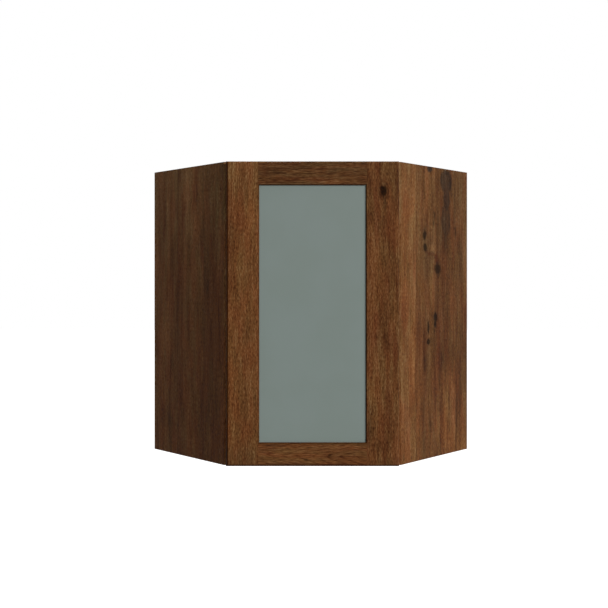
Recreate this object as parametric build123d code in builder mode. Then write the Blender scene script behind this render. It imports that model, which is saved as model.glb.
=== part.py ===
"""Diagonal corner wall cabinet with one framed glass door.

The cabinet stands in a room corner. Its two end panels meet the two walls at
right angles, and the door closes the diagonal front between them. The door
faces -Y, +X is to the right and +Z is up. All sizes are in millimetres.
"""

from build123d import *
from math import sqrt, tan, radians
import os

os.makedirs("parts", exist_ok=True)

# ---------------------------------------------------------------- cabinet size
wall_run = 609.6  # along each wall, from the room corner to an end panel's outer face
side_depth = 295.0  # from the wall to the front corner of an end panel
cabinet_height = 762.0

# -------------------------------------------------------------------- carcass
panel_thickness = 19.0  # end, top and bottom panels
dado_depth = 6.0  # grooves of the end panels for the top, bottom and back panels
panel_recess = 19.0  # top and bottom panels lie this far inside the end panels' edges
back_thickness = 6.0
hanging_rail_thickness = 16.0
hanging_rail_height = 90.0
post_leg = 45.0  # corner post, along each back panel
block_leg = 50.0  # triangular glue blocks
frame_thickness = 19.0
dowel_radius = 4.0
dowel_in_rail = 19.0
dowel_in_stile = 12.0
dowel_spacing = 18.0
dowel_hole_clearance = 0.5  # past each end of a dowel
joint_clearance = 0.05  # radial, for screws, pins and dowels that sit in a hole

# --------------------------------------------------------------- screw heads
countersink_angle = 82.0  # full angle of the cone
recess_reach = 0.9  # cross recess, as shares of the head's radius and height
recess_width = 0.25
recess_depth = 0.6

# ------------------------------------------------------------ wall screw holes
wall_screw_radius = 2.5
wall_screw_height = 62.0  # from the top or bottom edge of the cabinet
wall_screw_from_corner = 150.0
wall_screw_from_end = 110.0  # from the inner face of the end panel

# ----------------------------------------------------------------- rail screws
rail_screw_radius = 2.0
rail_screw_head_radius = 4.0
rail_screw_length = 40.0
rail_screw_from_corner = 90.0
rail_screw_from_end = 45.0

# --------------------------------------------------------------------- shelves
shelf_thickness = 19.0
shelf_clearance = 1.5
shelf_setback = 8.0  # from the back of the face frame
edging_depth = 6.0
pin_radius = 2.5
pin_length = 9.0
pin_hole_depth = 10.0
pin_collar_radius = 4.5
pin_collar_thickness = 1.2
pin_tongue_width = 9.0
pin_tongue_thickness = 2.2
pin_tongue_length = 9.0
pin_pitch = 32.0
pin_row_margin = 100.0  # lowest and highest holes, from the bottom and top panels
pin_row_from_wall = 80.0
pin_row_from_shelf_front = 37.0
seat_gap = 0.3  # a shelf over its pins, and a bumper off the frame

# ------------------------------------------------------------------------ door
door_thickness = 19.0
door_gap = 3.0  # behind the closed door
door_reveal_side = 6.6
door_reveal_end = 1.0
door_stile_width = 83.0
door_rail_width = 59.5
front_edge_radius = 6.0
back_edge_radius = 3.0
sight_chamfer_width = 2.5
sight_chamfer_depth = 3.0
land_thickness = 4.6  # wood in front of the glass
rabbet_width = 10.0
tenon_thickness = 6.0
tenon_length = 12.0
tenon_shoulder = 8.0
mortise_clearance = 0.5
seal_thickness = 0.8
seal_inset = 1.5  # the seal stays this far outside the sight edge
glass_thickness = 4.0
glass_play = 1.5  # between the glass edge and the rabbet
bead_width = 9.0
bead_chamfer = 3.0
nail_radius = 0.6
nail_head_radius = 1.1
nail_length = 20.0
nail_from_bead_end = 60.0
nail_head_height = 0.5
bumper_radius = 4.5
bumper_inset = 13.0
bumper_rounding = 1.0

# ---------------------------------------------------------------------- hinges
hinge_overlay = 33.0  # of the door over the frame stile
hinge_inset = 100.0  # hinge centre from the end of the door
pivot_inset = 8.8  # hinge axis from the door's edge
pivot_depth = 8.0  # hinge axis in front of the door's back face
cup_radius = 17.5
cup_tab = 4.5  # wood between the cup and the door's edge
cup_depth = 13.0
cup_wall = 0.7
cup_floor = 0.9
cup_bore_clearance = 0.1
flange_thickness = 1.2
flange_rim = 1.0
wing_radius = 5.5
wing_offset = 9.5
wing_spacing = 45.0
cheek_width = 8.5  # solid cheeks that carry the hinge pin
slot_half_width = 5.6
hinge_pin_radius = 1.5
hinge_pin_length = 18.4
hinge_pin_clearance = 0.05
arm_thickness = 2.0
arm_width = 9.0
arm_eye_radius = 2.5
arm_drop = 1.5  # the arm dips below the pin inside the cup
arm_reach = 15.0  # behind the front of the frame
arm_bend_radius = 2.5
spring_thickness = 0.6
spring_width = 7.0
spring_length = 14.0
spring_lip = 0.8
plate_thickness = 2.0
plate_height = 50.0
plate_width = 16.0
plate_setback = 1.5
plate_corner_radius = 3.0
plate_screw_spacing = 34.0
plate_screw_radius = 1.75
plate_screw_head_radius = 3.4
plate_screw_length = 16.0
cup_screw_radius = 1.75
cup_screw_head_radius = 3.3
cup_screw_head_height = 1.0
cup_screw_length = 11.0
adjuster_radius = 2.0
adjuster_head_radius = 3.5
adjuster_head_height = 2.0
adjuster_length = 9.0

# -------------------------------------------------------------- derived places
root_two = sqrt(2)
half_front = (wall_run - side_depth) / root_two
body_depth = (wall_run + side_depth) / root_two
total_depth = body_depth + door_gap + door_thickness
corner_y = total_depth / 2
front_y = corner_y - body_depth
frame_back_y = front_y + frame_thickness
door_back_y = front_y - door_gap
door_front_y = door_back_y - door_thickness

back_face = hanging_rail_thickness + back_thickness  # inner face of the back, from a wall
end_inner = wall_run - panel_thickness  # inner face of an end panel, from the other wall
bottom_face = panel_recess + panel_thickness  # top of the bottom panel
top_face = cabinet_height - bottom_face  # underside of the top panel

door_half = half_front - door_reveal_side
door_bottom = door_reveal_end
door_top = cabinet_height - door_reveal_end
opening_half = door_half - hinge_overlay
sight_half = door_half - door_stile_width
sight_bottom = door_bottom + door_rail_width
sight_top = door_top - door_rail_width
rabbet_half = sight_half + rabbet_width
rabbet_bottom = sight_bottom - rabbet_width
rabbet_top = sight_top + rabbet_width


def plan_point(from_left_wall, from_right_wall):
    """Return the (x, y) of a point by its distances from the two walls."""
    x = (from_left_wall - from_right_wall) / root_two
    y = corner_y - (from_left_wall + from_right_wall) / root_two
    return (x, y)


def front_point(from_left_wall, behind_front):
    """Return the (x, y) of a point by its distances from the left wall and the front."""
    both_walls = root_two * (body_depth - behind_front)
    return plan_point(from_left_wall, both_walls - from_left_wall)


def both_sides(right_half):
    """Complete an outline from the points of its right half."""
    return right_half + [(-x, y) for x, y in reversed(right_half) if x > 0]


def upright(points, bottom, top):
    """Add a prism that stands on a plan outline to the part being built."""
    with BuildSketch(Plane.XY.offset(bottom)) as outline:
        with BuildLine():
            Polyline(*points, close=True)
        make_face()
    extrude(outline.sketch, amount=top - bottom)


def facing(points, front, back, mode=Mode.ADD):
    """Add the prism of an X-Z outline between two depths to the part being built."""
    with BuildSketch(Plane.XZ.offset(-back)) as outline:
        with BuildLine():
            Polyline(*points, close=True)
        make_face()
    extrude(outline.sketch, amount=back - front, mode=mode)


def nail_shape(radius, head_radius, head_height, length, countersunk=False):
    """Return one plain-headed nail along -Z whose head top is at the origin."""
    flat_side = [] if countersunk else [(head_radius, -head_height)]
    tip = 2 * radius
    profile = [
        (0, 0),
        (head_radius, 0),
        *flat_side,
        (radius, -head_height),
        (radius, tip - length),
        (0, -length),
    ]
    with BuildPart() as nail:
        with BuildSketch(Plane.XZ) as half:
            with BuildLine():
                Polyline(*profile, close=True)
            make_face()
        revolve(half.sketch, axis=Axis.Z)
    return nail.part


def screw_shape(radius, head_radius, head_height, length, countersunk=True):
    """Return one screw along -Z with a cross recess, its head top at the origin."""
    with BuildPart() as screw:
        add(nail_shape(radius, head_radius, head_height, length, countersunk))
        for angle in (0, 90):
            Box(
                head_radius * recess_reach,
                head_radius * recess_width,
                head_height * recess_depth,
                rotation=(0, 0, angle),
                align=(Align.CENTER, Align.CENTER, Align.MAX),
                mode=Mode.SUBTRACT,
            )
    return screw.part


def sink_height(radius, head_radius):
    """Return the height of a countersunk head."""
    return (head_radius - radius) / tan(radians(countersink_angle / 2))


# ============================================================ top, bottom, back
panel_edge = end_inner + dado_depth
deck_outline = both_sides([
    front_point(panel_edge, frame_thickness),
    plan_point(panel_edge, back_face),
    plan_point(back_face, back_face),
])

wall_screw_places = (wall_screw_from_corner, end_inner - wall_screw_from_end)
rail_screw_places = (
    rail_screw_from_corner,
    (rail_screw_from_corner + end_inner - rail_screw_from_end) / 2,
    end_inner - rail_screw_from_end,
)
deck_levels = (panel_recess + panel_thickness / 2, top_face + panel_thickness / 2)


def right_wall_plane(along, height, from_wall, outward):
    """Return a plane parallel to the right wall, facing it or the room."""
    x, y = plan_point(along, from_wall)
    side = 1 if outward else -1
    return Plane(origin=(x, y, height), x_dir=(0, 0, 1), z_dir=(side, side, 0))


def left_wall_plane(along, height, from_wall, outward):
    """Return a plane parallel to the left wall, facing it or the room."""
    x, y = plan_point(from_wall, along)
    side = 1 if outward else -1
    return Plane(origin=(x, y, height), x_dir=(0, 0, 1), z_dir=(-side, side, 0))


rail_screw_planes = [
    wall_plane(along, level, 0, True)
    for wall_plane in (left_wall_plane, right_wall_plane)
    for along in rail_screw_places
    for level in deck_levels
]
right_wall_screw_planes = [
    right_wall_plane(along, height, back_face, False)
    for along in wall_screw_places
    for height in (wall_screw_height, cabinet_height - wall_screw_height)
]

with BuildPart() as bottom_panel:
    upright(deck_outline, panel_recess, bottom_face)
    with Locations(*rail_screw_planes):
        Hole(rail_screw_radius + joint_clearance, rail_screw_length + 1)

with BuildPart() as top_panel:
    upright(deck_outline, top_face, cabinet_height - panel_recess)
    with Locations(*rail_screw_planes):
        Hole(rail_screw_radius + joint_clearance, rail_screw_length + 1)

with BuildPart() as back_panel_right:
    upright(
        [
            plan_point(hanging_rail_thickness, hanging_rail_thickness),
            plan_point(back_face, back_face),
            plan_point(panel_edge, back_face),
            plan_point(panel_edge, hanging_rail_thickness),
        ],
        0,
        cabinet_height,
    )
    with Locations(*right_wall_screw_planes):
        Hole(wall_screw_radius, 2 * back_face)
    with Locations(*rail_screw_planes):
        Hole(rail_screw_radius + joint_clearance, rail_screw_length)

with BuildPart() as back_panel_left:
    mirror(back_panel_right.part, about=Plane.YZ)

# ============================================================== hanging rails
rail_outline = [
    plan_point(0, 0),
    plan_point(hanging_rail_thickness, hanging_rail_thickness),
    plan_point(end_inner, hanging_rail_thickness),
    plan_point(end_inner, 0),
]


def cut_rail_holes():
    """Drill the wall screw holes and the rail screws' countersunk holes."""
    with Locations(*right_wall_screw_planes):
        Hole(wall_screw_radius, 2 * back_face)
    with Locations(*rail_screw_planes):
        CounterSinkHole(
            rail_screw_radius + joint_clearance,
            rail_screw_head_radius + joint_clearance,
            2 * hanging_rail_thickness,
        )


with BuildPart() as hanging_rail_top_right:
    upright(rail_outline, cabinet_height - hanging_rail_height, cabinet_height)
    cut_rail_holes()

with BuildPart() as hanging_rail_bottom_right:
    upright(rail_outline, 0, hanging_rail_height)
    cut_rail_holes()

with BuildPart() as hanging_rail_top_left:
    mirror(hanging_rail_top_right.part, about=Plane.YZ)

with BuildPart() as hanging_rail_bottom_left:
    mirror(hanging_rail_bottom_right.part, about=Plane.YZ)

rail_screw = screw_shape(
    rail_screw_radius,
    rail_screw_head_radius,
    sink_height(rail_screw_radius, rail_screw_head_radius),
    rail_screw_length,
)
with BuildPart() as rail_screws:
    with Locations(*rail_screw_planes):
        add(rail_screw)

# ==================================================================== shelf pins
pin_rows = int((top_face - bottom_face - 2 * pin_row_margin) // pin_pitch) + 1
pin_heights = [bottom_face + pin_row_margin + pin_pitch * row for row in range(pin_rows)]
lower_pin_height = pin_heights[pin_rows // 5]
upper_pin_height = pin_heights[pin_rows * 2 // 3]

shelf_front = frame_thickness + shelf_setback
shelf_front_from_wall = root_two * (body_depth - shelf_front) - end_inner
pin_row_places = (pin_row_from_wall, shelf_front_from_wall - pin_row_from_shelf_front)
post_face_y = plan_point(back_face + post_leg, back_face)[1]


def right_pin_plane(from_wall, height):
    """Return the plane of a pin hole's mouth in the right end panel."""
    x, y = plan_point(end_inner, from_wall)
    return Plane(origin=(x, y, height), x_dir=(0, 0, 1), z_dir=(-1, 1, 0))


def left_pin_plane(from_wall, height):
    """Return the plane of a pin hole's mouth in the left end panel."""
    x, y = plan_point(from_wall, end_inner)
    return Plane(origin=(x, y, height), x_dir=(0, 0, 1), z_dir=(1, 1, 0))


def post_pin_plane(height):
    """Return the plane of a pin hole's mouth in the corner post."""
    return Plane(origin=(0, post_face_y, height), x_dir=(0, 0, 1), z_dir=(0, -1, 0))


def pin_planes_at(height):
    """Return the planes of the five pins that carry a shelf."""
    sides = [
        pin_plane(place, height)
        for pin_plane in (left_pin_plane, right_pin_plane)
        for place in pin_row_places
    ]
    return sides + [post_pin_plane(height)]


with BuildPart() as shelf_pin:
    with BuildSketch(Plane.XY):
        Circle(pin_radius)
    extrude(amount=-pin_length)
    with BuildSketch(Plane.XY):
        Circle(pin_collar_radius)
    extrude(amount=pin_collar_thickness)
    with BuildSketch(Plane.XY):
        with Locations((pin_radius, 0)):
            Rectangle(
                pin_tongue_thickness, pin_tongue_width, align=(Align.MAX, Align.CENTER)
            )
    extrude(amount=pin_collar_thickness + pin_tongue_length)

with BuildPart() as shelf_pins:
    with Locations(*pin_planes_at(lower_pin_height), *pin_planes_at(upper_pin_height)):
        add(shelf_pin.part)

# =================================================================== end panels
with BuildPart() as right_end_panel:
    upright(
        [
            plan_point(end_inner, 0),
            plan_point(wall_run, 0),
            plan_point(wall_run, side_depth),
            front_point(end_inner, 0),
        ],
        0,
        cabinet_height,
    )
    add(bottom_panel.part, mode=Mode.SUBTRACT)
    add(top_panel.part, mode=Mode.SUBTRACT)
    add(back_panel_right.part, mode=Mode.SUBTRACT)
    with Locations(*[right_pin_plane(at, z) for at in pin_row_places for z in pin_heights]):
        Hole(pin_radius + joint_clearance, pin_hole_depth)

with BuildPart() as left_end_panel:
    mirror(right_end_panel.part, about=Plane.YZ)

with BuildPart() as corner_post:
    upright(
        both_sides([
            plan_point(back_face + post_leg, back_face),
            plan_point(back_face, back_face),
        ]),
        bottom_face,
        top_face,
    )
    with Locations(*[post_pin_plane(z) for z in pin_heights]):
        Hole(pin_radius + joint_clearance, pin_hole_depth)

# ================================================================== glue blocks
end_block = [
    plan_point(end_inner, back_face),
    plan_point(end_inner, back_face + block_leg),
    plan_point(end_inner - block_leg, back_face),
]
corner_block = both_sides([
    plan_point(back_face + block_leg, back_face),
    plan_point(back_face, back_face),
])
with BuildPart() as glue_blocks:
    for block_bottom in (0, cabinet_height - panel_recess):
        block_top = block_bottom + panel_recess
        upright(end_block, block_bottom, block_top)
        upright([(-x, y) for x, y in end_block], block_bottom, block_top)
        upright(corner_block, block_bottom, block_top)

# =================================================================== face frame
frame_middle_y = front_y + frame_thickness / 2
rail_middles = (bottom_face / 2, cabinet_height - bottom_face / 2)
dowel_planes = [
    Plane(
        origin=(side * opening_half, frame_middle_y, middle + shift * dowel_spacing / 2),
        x_dir=(0, 0, 1),
        z_dir=(side, 0, 0),
    )
    for side in (-1, 1)
    for middle in rail_middles
    for shift in (-1, 1)
]


def bore_dowels():
    """Drill the dowel holes through the joints of the face frame."""
    with Locations(*dowel_planes):
        Cylinder(
            dowel_radius + joint_clearance,
            2 * (dowel_in_rail + dowel_hole_clearance),
            mode=Mode.SUBTRACT,
        )


with BuildPart() as frame_stile_blank:
    upright(
        [
            (opening_half, front_y),
            front_point(end_inner, 0),
            front_point(end_inner, frame_thickness),
            (opening_half, frame_back_y),
        ],
        0,
        cabinet_height,
    )
    with Locations(*dowel_planes):
        Cylinder(
            dowel_radius + joint_clearance,
            2 * (dowel_in_stile + dowel_hole_clearance),
            mode=Mode.SUBTRACT,
        )

with BuildPart() as frame_stile_right:
    add(frame_stile_blank.part)

frame_rail_outline = [
    (-opening_half, front_y),
    (opening_half, front_y),
    (opening_half, frame_back_y),
    (-opening_half, frame_back_y),
]
with BuildPart() as frame_rail_bottom:
    upright(frame_rail_outline, 0, bottom_face)
    bore_dowels()

with BuildPart() as frame_rail_top:
    upright(frame_rail_outline, top_face, cabinet_height)
    bore_dowels()

with BuildPart() as frame_dowels:
    with Locations(*[plane.offset(-dowel_in_rail) for plane in dowel_planes]):
        Cylinder(
            dowel_radius,
            dowel_in_rail + dowel_in_stile,
            align=(Align.CENTER, Align.CENTER, Align.MIN),
        )

# ================================================================ hinge places
hinge_heights = (door_bottom + hinge_inset, door_top - hinge_inset)
hinge_centres = [(0, 0, height) for height in hinge_heights]
pivot_x = -door_half + pivot_inset
pivot_y = door_back_y - pivot_depth
cup_x = -door_half + cup_tab + cup_radius
cup_floor_y = door_back_y - cup_depth + cup_floor
flange_y = door_back_y + flange_thickness
arm_x = -opening_half + plate_thickness + arm_thickness / 2
wing_places = [(cup_x + wing_offset, side * wing_spacing / 2) for side in (-1, 1)]


def into_door(x, y, z):
    """Return the plane of a hole or screw that goes into the door from behind."""
    return Plane(origin=(x, y, z), x_dir=(1, 0, 0), z_dir=(0, 1, 0))


def into_stile(x, height):
    """Return the plane of a hole or screw that goes into the frame's hinge stile."""
    return Plane(origin=(x, frame_middle_y, height), x_dir=(0, 0, 1), z_dir=(1, 0, 0))


cup_screw_planes = [
    into_door(x, flange_y + cup_screw_head_height, height + z)
    for height in hinge_heights
    for x, z in wing_places
]
plate_screw_planes = [
    into_stile(-opening_half + plate_thickness, height + side * plate_screw_spacing / 2)
    for height in hinge_heights
    for side in (-1, 1)
]
adjuster_planes = [
    into_stile(arm_x + arm_thickness / 2 + adjuster_head_height, height)
    for height in hinge_heights
]

with BuildPart() as frame_stile_left:
    mirror(frame_stile_blank.part, about=Plane.YZ)
    with Locations(*plate_screw_planes):
        Hole(plate_screw_radius + joint_clearance, plate_screw_length + 1)
    with Locations(*adjuster_planes):
        Hole(adjuster_radius + joint_clearance, adjuster_length + 1)

# ================================================================= door frame
bead_front_y = door_front_y + land_thickness + seal_thickness + glass_thickness
nail_y = (bead_front_y + door_back_y - bead_chamfer) / 2
bead_half = rabbet_half - bead_width
bead_bottom = rabbet_bottom + bead_width
bead_top = rabbet_top - bead_width
side_nail_heights = (
    rabbet_bottom + nail_from_bead_end,
    (rabbet_bottom + rabbet_top) / 2,
    rabbet_top - nail_from_bead_end,
)
nail_planes = [
    Plane(
        origin=(side * (bead_half - nail_head_height), nail_y, height),
        x_dir=(0, 0, 1),
        z_dir=(-side, 0, 0),
    )
    for side in (-1, 1)
    for height in side_nail_heights
] + [
    Plane(
        origin=(side * (rabbet_half - nail_from_bead_end), nail_y, height),
        x_dir=(1, 0, 0),
        z_dir=(0, 0, facing_way),
    )
    for side in (-1, 1)
    for height, facing_way in (
        (bead_bottom + nail_head_height, 1),
        (bead_top - nail_head_height, -1),
    )
]


def drill_nails():
    """Drill the holes of the bead nails."""
    with Locations(*nail_planes):
        Hole(nail_radius + joint_clearance, nail_length + 1)


tenon_middle_y = (door_front_y + land_thickness + door_back_y) / 2
tenon_bottom = rabbet_top + tenon_shoulder
tenon_top = door_top - tenon_shoulder


def tenon(length, mode=Mode.ADD, at_top=True):
    """Add a rail's two tenons, or cut their mortises, at a length past the rail."""
    low, high = tenon_bottom, tenon_top
    if not at_top:
        low, high = cabinet_height - tenon_top, cabinet_height - tenon_bottom
    for side in (-1, 1):
        start = side * rabbet_half
        end = side * (rabbet_half + length)
        facing(
            [(start, low), (end, low), (end, high), (start, high)],
            tenon_middle_y - tenon_thickness / 2,
            tenon_middle_y + tenon_thickness / 2,
            mode,
        )


with BuildPart() as stile_blank:
    with BuildSketch(Plane.XY.offset(door_bottom)):
        with BuildLine():
            Polyline(
                (-door_half, door_front_y),
                (-sight_half - sight_chamfer_width, door_front_y),
                (-sight_half, door_front_y + sight_chamfer_depth),
                (-sight_half, door_front_y + land_thickness),
                (-rabbet_half, door_front_y + land_thickness),
                (-rabbet_half, door_back_y),
                (-door_half, door_back_y),
                close=True,
            )
        make_face()
    extrude(amount=door_top - door_bottom)
    front_edges = faces().sort_by(Axis.Y)[0].edges().sort_by(Axis.X)[:-1]
    fillet(front_edges, front_edge_radius)
    back_edges = faces().sort_by(Axis.Y)[-1].edges().sort_by(Axis.X)[:-1]
    fillet(back_edges, back_edge_radius)
    tenon(tenon_length + mortise_clearance, Mode.SUBTRACT)
    tenon(tenon_length + mortise_clearance, Mode.SUBTRACT, at_top=False)
    drill_nails()

with BuildPart() as door_right_stile:
    mirror(stile_blank.part, about=Plane.YZ)

with BuildPart() as door_left_stile:
    add(stile_blank.part)
    with Locations(*[into_door(cup_x, door_back_y, height) for height in hinge_heights]):
        Hole(cup_radius + cup_bore_clearance, cup_depth + cup_bore_clearance)
    with Locations(*cup_screw_planes):
        Hole(cup_screw_radius + joint_clearance, cup_screw_length + 1)

with BuildPart() as door_top_rail:
    with BuildSketch(Plane.YZ.offset(-rabbet_half)):
        with BuildLine():
            Polyline(
                (door_front_y, door_top),
                (door_front_y, sight_top + sight_chamfer_width),
                (door_front_y + sight_chamfer_depth, sight_top),
                (door_front_y + land_thickness, sight_top),
                (door_front_y + land_thickness, rabbet_top),
                (door_back_y, rabbet_top),
                (door_back_y, door_top),
                close=True,
            )
        make_face()
    extrude(amount=2 * rabbet_half)
    fillet(faces().sort_by(Axis.Y)[0].edges().sort_by(Axis.Z)[-1], front_edge_radius)
    fillet(faces().sort_by(Axis.Y)[-1].edges().sort_by(Axis.Z)[-1], back_edge_radius)
    tenon(tenon_length)
    add(door_left_stile.part, mode=Mode.SUBTRACT)
    add(door_right_stile.part, mode=Mode.SUBTRACT)
    drill_nails()

with BuildPart() as door_bottom_rail:
    mirror(door_top_rail.part, about=Plane.XY.offset(cabinet_height / 2))

# ============================================================ glass and its beads
pane_edge = [
    (-rabbet_half + glass_play, rabbet_bottom + glass_play),
    (rabbet_half - glass_play, rabbet_bottom + glass_play),
    (rabbet_half - glass_play, rabbet_top - glass_play),
    (-rabbet_half + glass_play, rabbet_top - glass_play),
]
seal_hole = [
    (-sight_half - seal_inset, sight_bottom - seal_inset),
    (sight_half + seal_inset, sight_bottom - seal_inset),
    (sight_half + seal_inset, sight_top + seal_inset),
    (-sight_half - seal_inset, sight_top + seal_inset),
]
land_y = door_front_y + land_thickness
glass_y = land_y + seal_thickness

with BuildPart() as glass_seal:
    facing(pane_edge, land_y, glass_y)
    facing(seal_hole, land_y, glass_y, Mode.SUBTRACT)

with BuildPart() as glass_pane:
    facing(pane_edge, glass_y, bead_front_y)

with BuildPart() as glazing_bead_left:
    facing(
        [
            (-rabbet_half, rabbet_bottom),
            (-rabbet_half, rabbet_top),
            (-bead_half, bead_top),
            (-bead_half, bead_bottom),
        ],
        bead_front_y,
        door_back_y,
    )
    inner_edge = faces().sort_by(Axis.Y)[-1].edges().sort_by(Axis.X)[-1]
    chamfer(inner_edge, bead_chamfer)
    drill_nails()

with BuildPart() as glazing_bead_right:
    mirror(glazing_bead_left.part, about=Plane.YZ)

with BuildPart() as glazing_bead_top:
    facing(
        [
            (-rabbet_half, rabbet_top),
            (rabbet_half, rabbet_top),
            (bead_half, bead_top),
            (-bead_half, bead_top),
        ],
        bead_front_y,
        door_back_y,
    )
    inner_edge = faces().sort_by(Axis.Y)[-1].edges().sort_by(Axis.Z)[0]
    chamfer(inner_edge, bead_chamfer)
    drill_nails()

with BuildPart() as glazing_bead_bottom:
    mirror(glazing_bead_top.part, about=Plane.XY.offset(cabinet_height / 2))

bead_nail = nail_shape(nail_radius, nail_head_radius, nail_head_height, nail_length)
with BuildPart() as bead_nails:
    with Locations(*nail_planes):
        add(bead_nail)

bumper_places = [
    (door_half - bumper_inset, height)
    for height in (door_bottom + bumper_inset, door_top - bumper_inset)
]
with BuildPart() as door_bumpers:
    with BuildSketch(Plane.XZ.offset(-door_back_y)):
        with Locations(*bumper_places):
            Circle(bumper_radius)
    extrude(amount=seat_gap - door_gap)
    fillet(faces().filter_by(Axis.Y).group_by(Axis.Y)[-1].edges(), bumper_rounding)

# ====================================================================== hinges
with BuildPart() as hinge_cup:
    with BuildSketch(Plane.XZ.offset(-door_back_y)):
        with Locations((cup_x, 0)):
            Circle(cup_radius)
    extrude(amount=cup_depth)
    with BuildSketch(Plane.XZ.offset(-flange_y)):
        with Locations((cup_x, 0)):
            Circle(cup_radius + flange_rim)
        with Locations(*wing_places):
            Circle(wing_radius)
        make_hull()
    extrude(amount=flange_thickness)
    with BuildSketch(Plane.XZ.offset(-flange_y)):
        with Locations((cup_x, 0)):
            Circle(cup_radius - cup_wall)
        cheek_x = cup_x - cup_radius + cheek_width / 2
        cheek_z = slot_half_width + cup_radius / 2
        with Locations((cheek_x, -cheek_z), (cheek_x, cheek_z)):
            Rectangle(cheek_width, cup_radius, mode=Mode.SUBTRACT)
    extrude(amount=flange_thickness + cup_depth - cup_floor, mode=Mode.SUBTRACT)
    with Locations((pivot_x, pivot_y, 0)):
        Cylinder(hinge_pin_radius, hinge_pin_length, mode=Mode.SUBTRACT)
    with Locations(*[into_door(x, flange_y, z) for x, z in wing_places]):
        Hole(cup_screw_radius + joint_clearance, 2 * flange_thickness)

with BuildPart() as hinge_cups:
    with Locations(*hinge_centres):
        add(hinge_cup.part)

with BuildPart() as hinge_pins:
    with Locations(*[(pivot_x, pivot_y, height) for height in hinge_heights]):
        Cylinder(hinge_pin_radius, hinge_pin_length)

with BuildPart() as hinge_spring:
    with BuildSketch(Plane.XY.offset(-spring_width / 2)):
        spring_start = pivot_x + hinge_pin_radius
        with BuildLine():
            Polyline(
                (spring_start, cup_floor_y),
                (spring_start + spring_length, cup_floor_y),
                (spring_start + spring_length, cup_floor_y + spring_thickness + spring_lip),
                (
                    spring_start + spring_length - spring_thickness,
                    cup_floor_y + spring_thickness + spring_lip,
                ),
                (spring_start + spring_length - spring_thickness, cup_floor_y + spring_thickness),
                (spring_start, cup_floor_y + spring_thickness),
                close=True,
            )
        make_face()
    extrude(amount=spring_width)

with BuildPart() as hinge_springs:
    with Locations(*hinge_centres):
        add(hinge_spring.part)

with BuildPart() as hinge_arm:
    with BuildSketch(Plane.XY.offset(-arm_width / 2)):
        with BuildLine():
            FilletPolyline(
                (pivot_x, pivot_y),
                (pivot_x + 2 * arm_eye_radius, pivot_y - arm_drop),
                (arm_x, pivot_y - arm_drop),
                (arm_x, front_y + arm_reach),
                radius=arm_bend_radius,
            )
        trace(line_width=arm_thickness)
        with Locations((pivot_x, pivot_y)):
            Circle(arm_eye_radius)
            Circle(hinge_pin_radius + hinge_pin_clearance, mode=Mode.SUBTRACT)
    extrude(amount=arm_width)
    with Locations(into_stile(arm_x + arm_thickness / 2, 0)):
        Hole(adjuster_radius + joint_clearance, 2 * arm_thickness)

with BuildPart() as hinge_arms:
    with Locations(*hinge_centres):
        add(hinge_arm.part)

with BuildPart() as hinge_plate:
    with Locations((-opening_half, front_y + plate_setback, 0)):
        Box(
            plate_thickness,
            plate_width,
            plate_height,
            align=(Align.MIN, Align.MIN, Align.CENTER),
        )
    fillet(edges().filter_by(Axis.X), plate_corner_radius)
    plate_face = -opening_half + plate_thickness
    with Locations(*[into_stile(plate_face, z * plate_screw_spacing / 2) for z in (-1, 1)]):
        CounterSinkHole(
            plate_screw_radius + joint_clearance, plate_screw_head_radius + joint_clearance
        )
    with Locations(into_stile(plate_face, 0)):
        Hole(adjuster_radius + joint_clearance)

with BuildPart() as hinge_plates:
    with Locations(*hinge_centres):
        add(hinge_plate.part)

plate_screw = screw_shape(
    plate_screw_radius,
    plate_screw_head_radius,
    sink_height(plate_screw_radius, plate_screw_head_radius),
    plate_screw_length,
)
with BuildPart() as hinge_plate_screws:
    with Locations(*plate_screw_planes):
        add(plate_screw)

cup_screw = screw_shape(
    cup_screw_radius, cup_screw_head_radius, cup_screw_head_height, cup_screw_length, False
)
with BuildPart() as hinge_cup_screws:
    with Locations(*cup_screw_planes):
        add(cup_screw)

adjuster = screw_shape(
    adjuster_radius, adjuster_head_radius, adjuster_head_height, adjuster_length, False
)
with BuildPart() as hinge_adjusters:
    with Locations(*adjuster_planes):
        add(adjuster)

# ===================================================================== shelves
shelf_edge = end_inner - shelf_clearance
shelf_back = back_face + shelf_clearance
post_side = back_face + post_leg + root_two * shelf_clearance - shelf_clearance
board_outline = both_sides([
    front_point(shelf_edge, shelf_front + edging_depth),
    plan_point(shelf_edge, shelf_back),
    plan_point(post_side, shelf_back),
])
edging_outline = both_sides([
    front_point(shelf_edge, shelf_front),
    front_point(shelf_edge, shelf_front + edging_depth),
])


def shelf_underside(pin_height):
    """Return the height of the underside of the shelf on the pins at a height."""
    return pin_height + pin_radius + seat_gap


lower_shelf_z = shelf_underside(lower_pin_height)
upper_shelf_z = shelf_underside(upper_pin_height)

with BuildPart() as shelf_lower:
    upright(board_outline, lower_shelf_z, lower_shelf_z + shelf_thickness)

with BuildPart() as shelf_upper:
    upright(board_outline, upper_shelf_z, upper_shelf_z + shelf_thickness)

with BuildPart() as shelf_edging_lower:
    upright(edging_outline, lower_shelf_z, lower_shelf_z + shelf_thickness)

with BuildPart() as shelf_edging_upper:
    upright(edging_outline, upper_shelf_z, upper_shelf_z + shelf_thickness)

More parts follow.
